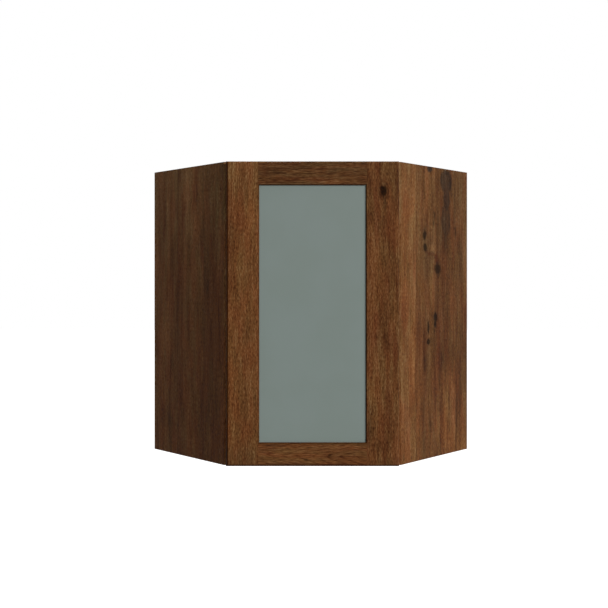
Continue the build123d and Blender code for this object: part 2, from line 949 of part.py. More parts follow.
# ============================================================ one file per piece
pieces = {
    "left_end_panel": left_end_panel,
    "right_end_panel": right_end_panel,
    "top_panel": top_panel,
    "bottom_panel": bottom_panel,
    "back_panel_left": back_panel_left,
    "back_panel_right": back_panel_right,
    "hanging_rail_top_left": hanging_rail_top_left,
    "hanging_rail_top_right": hanging_rail_top_right,
    "hanging_rail_bottom_left": hanging_rail_bottom_left,
    "hanging_rail_bottom_right": hanging_rail_bottom_right,
    "rail_screws": rail_screws,
    "corner_post": corner_post,
    "glue_blocks": glue_blocks,
    "frame_stile_left": frame_stile_left,
    "frame_stile_right": frame_stile_right,
    "frame_rail_top": frame_rail_top,
    "frame_rail_bottom": frame_rail_bottom,
    "frame_dowels": frame_dowels,
    "shelf_pins": shelf_pins,
    "shelf_lower": shelf_lower,
    "shelf_upper": shelf_upper,
    "shelf_edging_lower": shelf_edging_lower,
    "shelf_edging_upper": shelf_edging_upper,
    "hinge_plates": hinge_plates,
    "hinge_plate_screws": hinge_plate_screws,
    "hinge_arms": hinge_arms,
    "hinge_adjusters": hinge_adjusters,
    "hinge_cups": hinge_cups,
    "hinge_cup_screws": hinge_cup_screws,
    "hinge_pins": hinge_pins,
    "hinge_springs": hinge_springs,
    "door_left_stile": door_left_stile,
    "door_right_stile": door_right_stile,
    "door_top_rail": door_top_rail,
    "door_bottom_rail": door_bottom_rail,
    "glass_seal": glass_seal,
    "glass_pane": glass_pane,
    "glazing_bead_left": glazing_bead_left,
    "glazing_bead_right": glazing_bead_right,
    "glazing_bead_top": glazing_bead_top,
    "glazing_bead_bottom": glazing_bead_bottom,
    "bead_nails": bead_nails,
    "door_bumpers": door_bumpers,
}
for name, piece in pieces.items():
    piece.part.label = name
    export_step(piece.part, f"parts/{name}.step")
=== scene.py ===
"""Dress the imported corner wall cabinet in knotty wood, frosted glass and plated fittings.

The cabinet hangs at its usual height over a pale floor. Its door faces -Y, +X is to
the right and +Z is up. Lengths are in metres, colours in linear light.
"""

import logging
from collections.abc import Mapping, Sequence
from dataclasses import dataclass
from enum import Enum
from math import cos, pi, radians, sin, sqrt

import bpy
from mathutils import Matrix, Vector


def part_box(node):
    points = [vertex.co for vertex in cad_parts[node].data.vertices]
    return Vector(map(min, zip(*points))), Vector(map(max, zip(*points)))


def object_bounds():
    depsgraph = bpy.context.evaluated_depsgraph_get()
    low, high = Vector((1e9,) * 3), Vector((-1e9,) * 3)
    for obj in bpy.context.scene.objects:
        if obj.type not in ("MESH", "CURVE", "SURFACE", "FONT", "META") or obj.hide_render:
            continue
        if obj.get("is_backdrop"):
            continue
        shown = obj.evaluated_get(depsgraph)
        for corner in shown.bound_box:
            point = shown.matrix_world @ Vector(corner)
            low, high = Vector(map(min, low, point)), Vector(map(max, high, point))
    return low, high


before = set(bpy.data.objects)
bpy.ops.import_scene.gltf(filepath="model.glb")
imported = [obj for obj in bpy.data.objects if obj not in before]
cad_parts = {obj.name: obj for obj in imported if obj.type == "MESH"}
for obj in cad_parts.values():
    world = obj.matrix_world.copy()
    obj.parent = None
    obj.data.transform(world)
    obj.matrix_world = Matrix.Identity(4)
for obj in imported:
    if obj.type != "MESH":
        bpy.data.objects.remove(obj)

LOG = logging.getLogger("corner_cabinet")

Colour = tuple[float, float, float]
Point = tuple[float, float, float]

WHITE = (1.0, 1.0, 1.0)
SLANT = sqrt(0.5)  # how far a step of 1 at 45 degrees goes along each axis

LOWEST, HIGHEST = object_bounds()
DOOR_FRONT_Y = LOWEST.y
CORNER_Y = HIGHEST.y  # the room corner behind the cabinet
HALF_HEIGHT = HIGHEST.z / 2
FRONT_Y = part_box("frame_stile_left")[0].y  # front of the face frame
HALF_FRONT = 2 * HIGHEST.x - (CORNER_Y - FRONT_Y)  # end panels and walls lie at 45 degrees
# Half widths of the glass that shows and of the door.
SIGHT_HALF, DOOR_HALF = (corner.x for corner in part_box("door_right_stile"))
SIGHT_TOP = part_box("door_top_rail")[0].z  # top edge of the glass that shows
DOOR_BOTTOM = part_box("door_bottom_rail")[0].z

MIDDLE = 0.5  # the middle of a noise, and of the ramp from dark to light wood
MERGE_DISTANCE = 0.00001  # closes the mesh along its edges before they are eased
SHARP = radians(50)  # edges sharper than this are eased
BEVEL_SEGMENTS = 2
SOFTWOOD_RING = 0.0045  # width of a year's growth in the rails and blocks
DRIFT_REACH = 0.035  # how far the grain leans to one side along a board
RAGGED_REACH = (0.008, 0.014)  # how ragged a mark's outline is, across and along the board
SEAM_WAVER = 0.008  # how far the line between two strips wanders
SEAM_EASE = 0.003  # half the width over which the tone changes there
SEAM_WIDTH = 0.0016  # width of the dark line itself
SEAM_STRENGTH = 0.3
HALO = (0.8, 2.1)  # where a knot's smoky halo begins to fade and ends, in half sizes
HALO_SHARE = 0.6  # how strong the halo is beside the knot
PULL_FADE = 0.4  # how soon the grain straightens beside a knot

# The noise at which each of these begins to show, and at which it shows in full.
FLECK_BRIM = (0.54, 0.68)
PORE_BRIM = (0.55, 0.62)
RED_BRIM = (0.50, 0.66)
GOLD_BRIM = (0.34, 0.50)  # the gold shows in full up to the first, and fades to the second
WARM_BRIM = (0.36, 0.64)
LATE_RISE = (0.5, 0.9)  # the part of a year over which its late wood darkens
LATE_END = (0.92, 1.0)  # and the part over which it ends

# Heights in the relief of the grain, and what the pores and bands add to the dullness.
LEVEL_HEIGHT = 0.6
HAIR_HEIGHT = 0.4
PORE_DEPTH = 0.5
FLECK_DEPTH = 0.3
PORE_DULLNESS = 0.15
BAND_DULLNESS = 0.2


def srgb(red: int, green: int, blue: int) -> Colour:
    """Turn a colour written from 0 to 255 into linear light.

    Args:
        red: share of red.
        green: share of green.
        blue: share of blue.

    Returns:
        The colour in linear light.
    """

    def linear(share: int) -> float:
        """Return one channel in linear light."""
        part = share / 255
        return part / 12.92 if part <= 0.04045 else ((part + 0.055) / 1.055) ** 2.4

    return linear(red), linear(green), linear(blue)


class Blend(Enum):
    """How one colour is laid over another."""

    MIX = "MIX"
    MULTIPLY = "MULTIPLY"


class Signal:
    """A value that changes over a surface, with arithmetic that adds Math nodes."""

    def __init__(self, graph: "Graph", socket: bpy.types.NodeSocket) -> None:
        """Wrap one output socket of a graph."""
        self.graph = graph
        self.socket = socket

    def __add__(self, other: "Signal | float") -> "Signal":
        """Add a value."""
        return self.graph.maths("ADD", self, other)

    def __radd__(self, other: float) -> "Signal":
        """Add this to a number."""
        return self.graph.maths("ADD", other, self)

    def __sub__(self, other: "Signal | float") -> "Signal":
        """Take a value away."""
        return self.graph.maths("SUBTRACT", self, other)

    def __mul__(self, other: "Signal | float") -> "Signal":
        """Multiply by a value."""
        return self.graph.maths("MULTIPLY", self, other)

    def __truediv__(self, other: "Signal | float") -> "Signal":
        """Divide by a value."""
        return self.graph.maths("DIVIDE", self, other)

    def __neg__(self) -> "Signal":
        """Turn the sign round."""
        return self.graph.maths("MULTIPLY", self, -1.0)

    def root(self) -> "Signal":
        """Return the square root."""
        return self.graph.maths("SQRT", self)

    def fraction(self) -> "Signal":
        """Return the part after the decimal point."""
        return self.graph.maths("FRACT", self)

    def swing(self) -> "Signal":
        """Return how far a noise is from its middle, to either side."""
        return self.graph.maths("SUBTRACT", self, MIDDLE)

    def past(self, limit: float) -> "Signal":
        """Return 1 where the value is greater than a limit, and 0 elsewhere."""
        return self.graph.maths("GREATER_THAN", self, limit)

    def larger(self, other: "Signal | float") -> "Signal":
        """Return the larger of this and another value."""
        return self.graph.maths("MAXIMUM", self, other)

    def bell(self) -> "Signal":
        """Return 1 at nought, falling away smoothly on both sides."""
        return self.graph.maths("EXPONENT", -(self * self))

    def fade(self, start: float, end: float, low: float = 0.0, high: float = 1.0) -> "Signal":
        """Ease from one value to another between two limits.

        Args:
            start: where the change begins.
            end: where it is complete.
            low: the value at the start.
            high: the value at the end.

        Returns:
            The eased value.
        """
        return self.graph.value(
            "ShaderNodeMapRange",
            {"interpolation_type": "SMOOTHSTEP"},
            {0: self, 1: start, 2: end, 3: low, 4: high},
        )


Source = Signal | bpy.types.NodeSocket | float | Sequence[float]


class Graph:
    """The node graph of one new material or world."""

    def __init__(self, owner: bpy.types.Material | bpy.types.World) -> None:
        """Empty the owner's graph.

        Args:
            owner: the material or world.
        """
        owner.use_nodes = True
        self.tree = owner.node_tree
        self.tree.nodes.clear()

    def node(
        self,
        kind: str,
        settings: Mapping[str, object] | None = None,
        sockets: Mapping[str | int, Source] | None = None,
    ) -> bpy.types.Node:
        """Add a node.

        Args:
            kind: the node's type.
            settings: its own settings, set first. A ramp's "stops" are among them.
            sockets: the values or links of its sockets, by name or number.

        Returns:
            The new node.
        """
        made = self.tree.nodes.new(kind)
        for key, setting in (settings or {}).items():
            if key == "stops":
                self._place_stops(made.color_ramp, setting)
            else:
                setattr(made, key, setting)
        for key, source in (sockets or {}).items():
            self._feed(made.inputs[key], source)
        return made

    @staticmethod
    def _place_stops(ramp: bpy.types.ColorRamp, stops: Sequence[tuple[float, Colour]]) -> None:
        """Give a ramp its stops, from left to right."""
        while len(ramp.elements) < len(stops):
            ramp.elements.new(1.0)
        for element, (place, colour) in zip(ramp.elements, stops):
            element.position = place
            element.color = (*colour, 1.0)

    def _feed(self, socket: bpy.types.NodeSocket, source: Source) -> None:
        """Link a socket to a source, or set its value."""
        if isinstance(source, Signal):
            self.tree.links.new(source.socket, socket)
        elif isinstance(source, bpy.types.NodeSocket):
            self.tree.links.new(source, socket)
        elif socket.type == "RGBA":
            socket.default_value = (*source, 1.0)
        else:
            socket.default_value = source

    def value(
        self,
        kind: str,
        settings: Mapping[str, object] | None = None,
        sockets: Mapping[str | int, Source] | None = None,
        output: str | int = 0,
    ) -> Signal:
        """Add a node and return one of its outputs as a signal.

        Args:
            kind: the node's type.
            settings: its own settings.
            sockets: the values or links of its sockets.
            output: the output's name or number.

        Returns:
            The output.
        """
        return Signal(self, self.node(kind, settings, sockets).outputs[output])

    def maths(self, operation: str, *values: Signal | float) -> Signal:
        """Add a Math node.

        Args:
            operation: what it does.
            values: what it works on.

        Returns:
            The result.
        """
        return self.value("ShaderNodeMath", {"operation": operation}, dict(enumerate(values)))

    def vector(self, operation: str, *values: Source) -> bpy.types.NodeSocket:
        """Add a Vector Math node with a vector result.

        Args:
            operation: what it does.
            values: what it works on.

        Returns:
            The resulting vector.
        """
        made = self.node("ShaderNodeVectorMath", {"operation": operation}, dict(enumerate(values)))
        return made.outputs[0]

    def scaled(self, vector: Source, size: Signal | float) -> bpy.types.NodeSocket:
        """Multiply a vector or colour by a value."""
        made = self.node(
            "ShaderNodeVectorMath", {"operation": "SCALE"}, {0: vector, "Scale": size}
        )
        return made.outputs[0]

    def measured(self, operation: str, *values: Source) -> Signal:
        """Add a Vector Math node whose result is one value, such as a length."""
        return self.value(
            "ShaderNodeVectorMath", {"operation": operation}, dict(enumerate(values)), "Value"
        )

    def joined(self, x: Source, y: Source, z: Source) -> bpy.types.NodeSocket:
        """Make a vector from three values."""
        return self.node("ShaderNodeCombineXYZ", None, {0: x, 1: y, 2: z}).outputs[0]

    def mixed(
        self, share: Source, under: Source, over: Source, way: Blend = Blend.MIX
    ) -> bpy.types.NodeSocket:
        """Lay one colour over another.

        Args:
            share: how much of the upper colour shows.
            under: the lower colour.
            over: the upper colour.
            way: how they are laid together.

        Returns:
            The mixed colour.
        """
        made = self.node(
            "ShaderNodeMix",
            {"data_type": "RGBA", "blend_type": way.value},
            {0: share, 6: under, 7: over},
        )
        return made.outputs[2]

    def place(self) -> bpy.types.NodeSocket:
        """Return the place on the piece, which is its place in the cabinet at rest."""
        return self.node("ShaderNodeTexCoord").outputs["Object"]

    def noise(self, at: Source, size: Point, detail: float = 2.0) -> Signal:
        """Add a soft noise.

        Args:
            at: the place.
            size: how many spots there are to a metre, in each direction.
            detail: how many finer layers it has.

        Returns:
            The noise, mostly between 0.3 and 0.7.
        """
        stretched = self.vector("MULTIPLY", at, size)
        sockets = {"Vector": stretched, "Scale": 1.0, "Detail": detail}
        return self.value("ShaderNodeTexNoise", None, sockets)

    def bump(self, height: Signal, depth: float) -> bpy.types.NodeSocket:
        """Turn a height into a normal.

        Args:
            height: the relief, from 0 to 1.
            depth: the relief's depth.

        Returns:
            The bent normal.
        """
        sockets = {"Height": height, "Distance": depth, "Strength": 1.0}
        return self.node("ShaderNodeBump", None, sockets).outputs[0]

    def seen(self) -> Signal:
        """Return 1 for what the eye sees, also in metal and through glass, and 0 for light."""
        path = self.node("ShaderNodeLightPath")
        camera, glossy, through = (
            Signal(self, path.outputs[f"Is {kind} Ray"])
            for kind in ("Camera", "Glossy", "Transmission")
        )
        return camera.larger(glossy.larger(through))

    def finish(self, shader: str, output: str, sockets: Mapping[str, Source]) -> None:
        """Close the graph with its shader.

        Args:
            shader: the shader's type.
            output: the output node's type.
            sockets: what the shader's sockets hold.
        """
        made = self.node(shader, None, sockets)
        self.node(output, None, {"Surface": made.outputs[0]})


class Surface(Graph):
    """The node graph of one new material."""

    def __init__(self, name: str) -> None:
        """Start an empty material.

        Args:
            name: the material's name.
        """
        self.material = bpy.data.materials.new(name)
        super().__init__(self.material)

    def coated(self, sockets: Mapping[str, Source]) -> bpy.types.Material:
        """Close the material with its shader.

        Args:
            sockets: what the shader's sockets hold.

        Returns:
            The finished material.
        """
        self.finish("ShaderNodeBsdfPrincipled", "ShaderNodeOutputMaterial", sockets)
        return self.material


@dataclass(frozen=True)
class Lie:
    """How a board lies in the cabinet.

    Attributes:
        grain: the direction of its fibres.
        width: the direction across its face.
        origin: the point that it is measured from.
    """

    grain: Point
    width: Point
    origin: Point = (0.0, 0.0, 0.0)

    @property
    def thickness(self) -> Point:
        """The direction through the board."""
        return tuple(Vector(self.grain).cross(Vector(self.width)))

    def moved(self, origin: Point) -> "Lie":
        """Return the same lie measured from another point."""
        return Lie(self.grain, self.width, origin)


UPRIGHT = Lie((0, 0, 1), (1, 0, 0))
LEVEL = Lie((1, 0, 0), (0, 0, 1))
FLAT = Lie((1, 0, 0), (0, 1, 0))
LEFT_END = Lie((0, 0, 1), (-SLANT, SLANT, 0), (-HALF_FRONT, FRONT_Y, 0))
RIGHT_END = Lie((0, 0, 1), (SLANT, SLANT, 0), (HALF_FRONT, FRONT_Y, 0))
LEFT_BACK = Lie((0, 0, 1), (-SLANT, -SLANT, 0), (0, CORNER_Y, 0))
RIGHT_BACK = Lie((0, 0, 1), (SLANT, -SLANT, 0), (0, CORNER_Y, 0))
LEFT_RAIL = Lie((-SLANT, -SLANT, 0), (0, 0, 1), (0, CORNER_Y, 0))
RIGHT_RAIL = Lie((SLANT, -SLANT, 0), (0, 0, 1), (0, CORNER_Y, 0))


@dataclass(frozen=True)
class Stain:
    """What a kind of mark does to the wood's colour.

    Attributes:
        leaves: the share of red, green and blue light that it leaves.
        solid: how far out it has its full strength, in half sizes.
        gone: how far out it ends, in half sizes.
    """

    leaves: Colour
    solid: float
    gone: float


class Tint(Enum):
    """The kinds of mark in the wood."""

    PALE = Stain((1.38, 1.38, 1.45), 0.40, 1.30)  # paler strips, and painted light high on the left end panel
    GOLD = Stain((1.22, 1.28, 1.18), 0.10, 1.40)  # golden strips
    RED = Stain((0.69, 0.53, 0.51), 0.40, 1.30)  # redder strips and the rims of knots
    SMOKE = Stain((0.40, 0.44, 0.47), 0.20, 1.35)  # dark streaks, dark joints and knots' halos, and painted shade and shadows
    BLOT = Stain((0.35, 0.46, 0.80), 0.75, 1.15)  # the dark stain below a top edge
    EDGE = Stain((0.32, 0.23, 0.11), 0.92, 1.04)  # painted shade along the edges of the door's boards
    KNOT = Stain((0.20, 0.17, 0.05), 0.65, 1.10)
    LIPPING = Stain((1.80, 1.97, 2.20), 0.92, 1.04)  # the paler strip along an end panel's front edge, with painted light where the door's shadow falls on it
    GREY = Stain((1.05, 1.28, 1.40), 0.30, 1.35)  # greyer strips


Shares = dict[Tint, Signal]


def show(shares: Shares, tint: Tint, share: Signal) -> None:
    """Let a tint show at least as much as a share.

    Args:
        shares: how much of each tint shows so far.
        tint: the tint.
        share: how much of it is to show.
    """
    shares[tint] = share.larger(shares[tint]) if tint in shares else share


@dataclass(frozen=True)
class Mark:
    """A knot, a streak or a patch in a board.

    Attributes:
        tint: what kind it is. A knot also has a smoky halo.
        across: its middle, across the board.
        along: its middle, along the board.
        half_width: half its size across the grain.
        half_length: half its size along the grain.
        strength: how much of its colour shows.
        pull: how far the grain bends round it.
    """

    tint: Tint
    across: float
    along: float
    half_width: float
    half_length: float
    strength: float
    pull: float = 0.0


def marks(kinds: Mapping[Tint, Sequence[Sequence[float]]]) -> tuple[Mark, ...]:
    """Return the marks of one board.

    Args:
        kinds: for each kind its marks. Each row holds a mark's middle across and
            along the board and its half sizes, all in millimetres, and then its
            strength and pull.

    Returns:
        The marks.
    """
    return tuple(
        Mark(tint, *(length / 1000 for length in row[:4]), *row[4:])
        for tint, rows in kinds.items()
        for row in rows
    )


@dataclass(frozen=True)
class Stave:
    """One of the strips that a wide board is jointed from.

    Attributes:
        start: its edge, across the board.
        tone: how light it is, where the first strip is 1.
        shift: how far its grain is moved, so that it differs from its neighbour's.
    """

    start: float
    tone: float
    shift: float


@dataclass(frozen=True)
class Board:
    """One piece of wood.

    Attributes:
        lie: how it lies.
        seed: which part of the tree it comes from.
        tone: how light it is.
        red: how much of the red stain its patches take.
        gold: how golden its other patches are.
        coarse: strength of its bands and streaks.
        fine: strength of its hairs, dashes and flecks.
        figure: strength of its growth rings.
        pith: the middle of the growth rings, across and through the board.
        taper: how much the tree narrows for each metre along the board.
        ring: width of a year's growth.
        wander: how uneven the rings are, in years.
        stretch: how long its hairs, dashes and flecks are.
        painted_top_light: painted light; how much lighter it is for each metre upwards.
        staves: the strips that it is jointed from, apart from the first.
        marks: the marks in it.
    """

    lie: Lie
    seed: float
    tone: float = 1.0
    red: float = 0.5
    gold: float = 0.4
    coarse: float = 1.0
    fine: float = 1.0
    figure: float = 1.0
    pith: tuple[float, float] = (0.4, 0.05)
    taper: float = 0.0
    ring: float = 0.011
    wander: float = 3.0
    stretch: float = 1.0
    painted_top_light: float = 0.0
    staves: tuple[Stave, ...] = ()
    marks: tuple[Mark, ...] = ()


class Grain(Enum):
    """The noises that make up the grain of a wood.

    Each holds how many spots there are to a metre across and through the grain, how
    many along it, and how many finer layers it has.
    """

    DRIFT = (5, 1.6, 1)
    WAVES = (20, 17, 2)
    RAGGED = (150, 60, 2)
    BANDS = (13, 0.9, 2)
    PATCHES = (30, 7, 2)
    STRANDS = (45, 9, 2)
    STREAKS = (60, 5, 2)
    HAIRS = (340, 17, 2)
    DASHES = (470, 120, 1)
    FLECKS = (520, 60, 1)
    PORES = (1100, 110, 1)

    def over(self, graph: Graph, wood: Source, stretch: float = 1.0) -> Signal:
        """Lay the noise over a board.

        Args:
            graph: the material's graph.
            wood: the place across, through and along the board.
            stretch: how much longer its spots are than usual.

        Returns:
            The noise.
        """
        across, along, detail = self.value
        return graph.noise(wood, (across, across, along / stretch), detail)


@dataclass(frozen=True)
class Timber:
    """A kind of wood and its finish.

    Attributes:
        dark: the late wood and the darkest streaks.
        middle: the board as a whole.
        light: the palest streaks.
        pore: the inside of the open pores.
        warm: the share of light that its redder strands leave.
        cool: the share of light that its greener strands leave.
        bands: strength of the bands about as wide as a hand.
        streaks: strength of the streaks about as wide as a finger.
        hairs: strength of the hair streaks.
        dashes: strength of the short dashes.
        late: strength of the late wood lines.
        flecks: strength of the short dark flecks.
        pores: strength of the fine pores.
        waver: how far the grain wanders from side to side.
        roughness: how dull the surface is.
        gloss: the shader's specular level.
        relief: depth of the open grain.
    """

    dark: Colour
    middle: Colour
    light: Colour
    pore: Colour
    warm: Colour = (1.045, 0.945, 0.935)
    cool: Colour = (0.955, 1.045, 1.055)
    bands: float = 0.7
    streaks: float = 0.8
    hairs: float = 1.0
    dashes: float = 1.2
    late: float = 0.10
    flecks: float = 0.4
    pores: float = 0.35
    waver: float = 0.010
    roughness: float = 0.5
    gloss: float = 0.04
    relief: float = 0.0003

    def material(self, name: str, board: Board) -> bpy.types.Material:
        """Make the material of one board.

        Args:
            name: the material's name.
            board: the board.

        Returns:
            The material.
        """
        graph = Surface(name)
        offset = graph.vector("SUBTRACT", graph.place(), board.lie.origin)
        across = graph.measured("DOT_PRODUCT", offset, board.lie.width)
        along = graph.measured("DOT_PRODUCT", offset, board.lie.grain)
        through = graph.measured("DOT_PRODUCT", offset, board.lie.thickness) + board.seed
        solid = graph.joined(across, through, along)
        drift = Grain.DRIFT.over(graph, solid)
        waves = Grain.WAVES.over(graph, solid)
        ragged = Grain.RAGGED.over(graph, solid)

        shares: Shares = {}
        jointed = across + waves.swing() * SEAM_WAVER
        tone, through = self._jointed(board, jointed, through, shares)
        bent = self._marked(graph, board, across, along, ragged, shares)
        bent = bent + drift.swing() * DRIFT_REACH + waves.swing() * self.waver
        wood = graph.joined(bent, through, along)

        bands = Grain.BANDS.over(graph, wood)
        streaks = Grain.STREAKS.over(graph, wood)
        hairs = Grain.HAIRS.over(graph, wood, board.stretch)
        dashes = Grain.DASHES.over(graph, wood, board.stretch)
        flecks = Grain.FLECKS.over(graph, wood, board.stretch).fade(*FLECK_BRIM)
        pores = Grain.PORES.over(graph, wood).fade(*PORE_BRIM)
        late = self._late_wood(board, bent, through, along, streaks)

        level = (
            MIDDLE
            + bands.swing() * (self.bands * board.coarse)
            + streaks.swing() * (self.streaks * board.coarse)
            + hairs.swing() * (self.hairs * board.fine)
            + dashes.swing() * (self.dashes * board.fine)
            - late * (self.late * board.figure)
        )
        # Painted light: the board is made lighter towards its top, as light from above falls.
        if board.painted_top_light:
            level = level + (along - HALF_HEIGHT) * board.painted_top_light
        ramp = graph.node(
            "ShaderNodeValToRGB",
            {"stops": [(0.0, self.dark), (MIDDLE, self.middle), (1.0, self.light)]},
            {0: level},
        )
        colour = graph.mixed(flecks * (self.flecks * board.fine), ramp.outputs[0], self.dark)
        colour = graph.mixed(pores * self.pores, colour, self.pore)
        patches = Grain.PATCHES.over(graph, wood)
        show(shares, Tint.RED, patches.fade(*RED_BRIM, 0.0, board.red))
        show(shares, Tint.GOLD, patches.fade(*GOLD_BRIM, board.gold, 0.0))
        strands = Grain.STRANDS.over(graph, wood).fade(*WARM_BRIM)
        tinge = graph.mixed(strands, self.cool, self.warm)
        colour = graph.mixed(1.0, colour, tinge, Blend.MULTIPLY)
        for tint in Tint:
            if tint in shares:
                colour = graph.mixed(shares[tint], colour, tint.value.leaves, Blend.MULTIPLY)

        relief = LEVEL_HEIGHT + hairs * HAIR_HEIGHT - pores * PORE_DEPTH - flecks * FLECK_DEPTH
        dullness = self.roughness + pores * PORE_DULLNESS + bands.swing() * BAND_DULLNESS
        return graph.coated({
            "Base Color": graph.scaled(colour, tone),
            "Roughness": dullness,
            "Specular IOR Level": self.gloss,
            "Normal": graph.bump(relief, self.relief),
        })

    def _late_wood(
        self, board: Board, bent: Signal, through: Signal, along: Signal, streaks: Signal
    ) -> Signal:
        """Lay the growth rings.

        Args:
            board: the board.
            bent: the place across the board.
            through: the place through the board.
            along: the place along the board.
            streaks: a noise that makes the rings uneven.

        Returns:
            1 in the late wood of each ring and 0 in the rest.
        """
        pitch = bent - board.pith[0]
        depth = through - board.seed - board.pith[1]
        radius = (pitch * pitch + depth * depth).root() - along * board.taper
        year = (radius / board.ring + streaks.swing() * board.wander).fraction()
        return year.fade(*LATE_RISE) * year.fade(*LATE_END, 1.0, 0.0)

    @staticmethod
    def _jointed(
        board: Board, across: Signal, through: Signal, shares: Shares
    ) -> tuple[Signal | float, Signal]:
        """Joint the board from its strips, with a dark line between each two.

        Args:
            board: the board.
            across: the place across the board.
            through: the place through the board.
            shares: how much of each tint shows, which the dark lines are added to.

        Returns:
            How light the wood is, and the place through the board as each strip has it.
        """
        tone: Signal | float = board.tone
        before = 1.0
        for stave in board.staves:
            step = across.fade(stave.start - SEAM_EASE, stave.start + SEAM_EASE)
            tone = tone + step * (board.tone * (stave.tone - before))
            before = stave.tone
            through = through + across.past(stave.start) * stave.shift
            seam = ((across - stave.start) / SEAM_WIDTH).bell()
            show(shares, Tint.SMOKE, seam * SEAM_STRENGTH)
        return tone, through

    @staticmethod
    def _marked(
        graph: Graph,
        board: Board,
        across: Signal,
        along: Signal,
        ragged: Signal,
        shares: Shares,
    ) -> Signal:
        """Lay the board's marks.

        Args:
            graph: the material's graph.
            board: the board.
            across: the place across the board.
            along: the place along the board.
            ragged: a noise that roughens the outlines, apart from those of the painted edge
                shade and the lippings.
            shares: how much of each tint shows, which the marks are added to.

        Returns:
            The place across the board as the bent grain has it.
        """
        bent = across
        straight = graph.joined(across, along, 0.0)
        wavy = graph.joined(
            across + ragged.swing() * RAGGED_REACH[0],
            along - ragged.swing() * RAGGED_REACH[1],
            0.0,
        )
        for mark in board.marks:
            place = straight if mark.tint in (Tint.EDGE, Tint.LIPPING) else wavy
            offset = graph.vector("SUBTRACT", place, (mark.across, mark.along, 0.0))
            sizes = (1 / mark.half_width, 1 / mark.half_length, 0.0)
            reach = graph.measured("LENGTH", graph.vector("MULTIPLY", offset, sizes))
            stain = mark.tint.value
            show(shares, mark.tint, reach.fade(stain.solid, stain.gone, mark.strength, 0.0))
            if mark.tint is Tint.KNOT:
                show(shares, Tint.SMOKE, reach.fade(*HALO, mark.strength * HALO_SHARE, 0.0))
            if mark.pull:
                bent = bent - (across - mark.across) * (reach * PULL_FADE).bell() * mark.pull
        return bent


@dataclass(frozen=True)
class Coat:
    """An even surface with soft patches of a second colour and a fine skin.

    Attributes:
        colour: its colour.
        patched: the colour of its patches.
        roughness: how dull it is.
        clear: the share of light that goes through.
        metallic: 1 for a metal and 0 for anything else.
        patches: how many patches there are to a metre, in each direction.
        layers: how many finer layers the patches have.
        brim: the noise at which a patch begins, and at which it is full.
        spread: how much the patches change the dullness.
        skin: how many grains the skin has to a metre, in each direction.
        skin_layers: how many finer layers the skin has.
        grit: how much the skin changes the dullness.
        relief: depth of the skin.
    """

    colour: Colour
    patched: Colour
    roughness: float
    clear: float = 0.0
    metallic: float = 0.0
    patches: Point = (60, 60, 60)
    layers: int = 3
    brim: tuple[float, float] = (0.35, 0.7)
    spread: float = 0.0
    skin: Point = (1500, 1500, 1500)
    skin_layers: int = 2
    grit: float = 0.3
    relief: float = 0.00005

    def material(self, name: str) -> bpy.types.Material:
        """Make the coat's material.

        Args:
            name: the material's name.

        Returns:
            The material.
        """
        graph = Surface(name)
        place = graph.place()
        patches = graph.noise(place, self.patches, self.layers)
        skin = graph.noise(place, self.skin, self.skin_layers)
        roughness = self.roughness
        if self.spread:
            roughness = roughness + patches.swing() * self.spread
        return graph.coated({
            "Base Color": graph.mixed(patches.fade(*self.brim), self.colour, self.patched),
            "Metallic": self.metallic,
            "Roughness": roughness + skin.swing() * self.grit,
            "Transmission Weight": self.clear,
            "Normal": graph.bump(skin, self.relief),
        })


@dataclass(frozen=True)
class Metal(Coat):
    """A plated or polished metal, duller in patches, with fine upright marks."""

    metallic: float = 1.0
    patches: Point = (90, 90, 90)
    brim: tuple[float, float] = (0.4, 0.7)
    spread: float = 0.18
    skin: Point = (2600, 2600, 260)
    grit: float = 0.1
    relief: float = 0.00004


KNOTTY = Timber(
    dark=srgb(62, 31, 10),
    middle=srgb(107, 68, 36),
    light=srgb(139, 102, 66),
    pore=srgb(44, 21, 8),
)
VENEERED = Timber(
    dark=srgb(80, 52, 31),
    middle=srgb(112, 76, 47),
    light=srgb(132, 94, 60),
    pore=srgb(58, 37, 23),
    dashes=0.5,
    flecks=0.3,
    pores=0.3,
    relief=0.00012,
)
PLYWOOD = Timber(
    dark=srgb(98, 66, 40),
    middle=srgb(122, 84, 52),
    light=srgb(140, 101, 66),
    pore=srgb(70, 46, 28),
    dashes=0.5,
    late=0.4,
    flecks=0.2,
    pores=0.3,
    relief=0.0001,
)
SOFTWOOD = Timber(
    dark=srgb(168, 118, 70),
    middle=srgb(205, 168, 118),
    light=srgb(226, 196, 150),
    pore=srgb(150, 104, 62),
    bands=0.5,
    streaks=0.5,
    dashes=0.3,
    late=0.7,
    flecks=0.12,
    pores=0.15,
    waver=0.004,
    roughness=0.65,
    gloss=0.25,
    relief=0.0001,
)
BEECH = Timber(
    dark=srgb(190, 148, 104),
    middle=srgb(212, 174, 130),
    light=srgb(226, 192, 152),
    pore=srgb(160, 112, 72),
    dashes=0.5,
    flecks=0.5,
    waver=0.001,
    roughness=0.6,
    gloss=0.3,
)
NICKEL = Metal(srgb(214, 210, 202), srgb(186, 181, 172), roughness=0.26)
ZINC = Metal(srgb(196, 198, 200), srgb(164, 168, 172), roughness=0.38)
BRASS = Metal(srgb(206, 168, 92), srgb(164, 124, 62), roughness=0.3)
GLASS = Coat(
    srgb(119, 131, 126),
    srgb(117, 129, 123),
    roughness=0.55,
    clear=0.2,
    patches=(9, 9, 9),
    layers=2,
    brim=(0.35, 0.65),
    skin=(2400, 2400, 2400),
    skin_layers=1,
    grit=0.2,
    relief=0.00003,
)
SEAL = Coat(srgb(20, 20, 20), srgb(34, 34, 33), roughness=0.7)
BUMPER = Coat(srgb(222, 222, 216), srgb(204, 204, 196), roughness=0.3, clear=0.6)

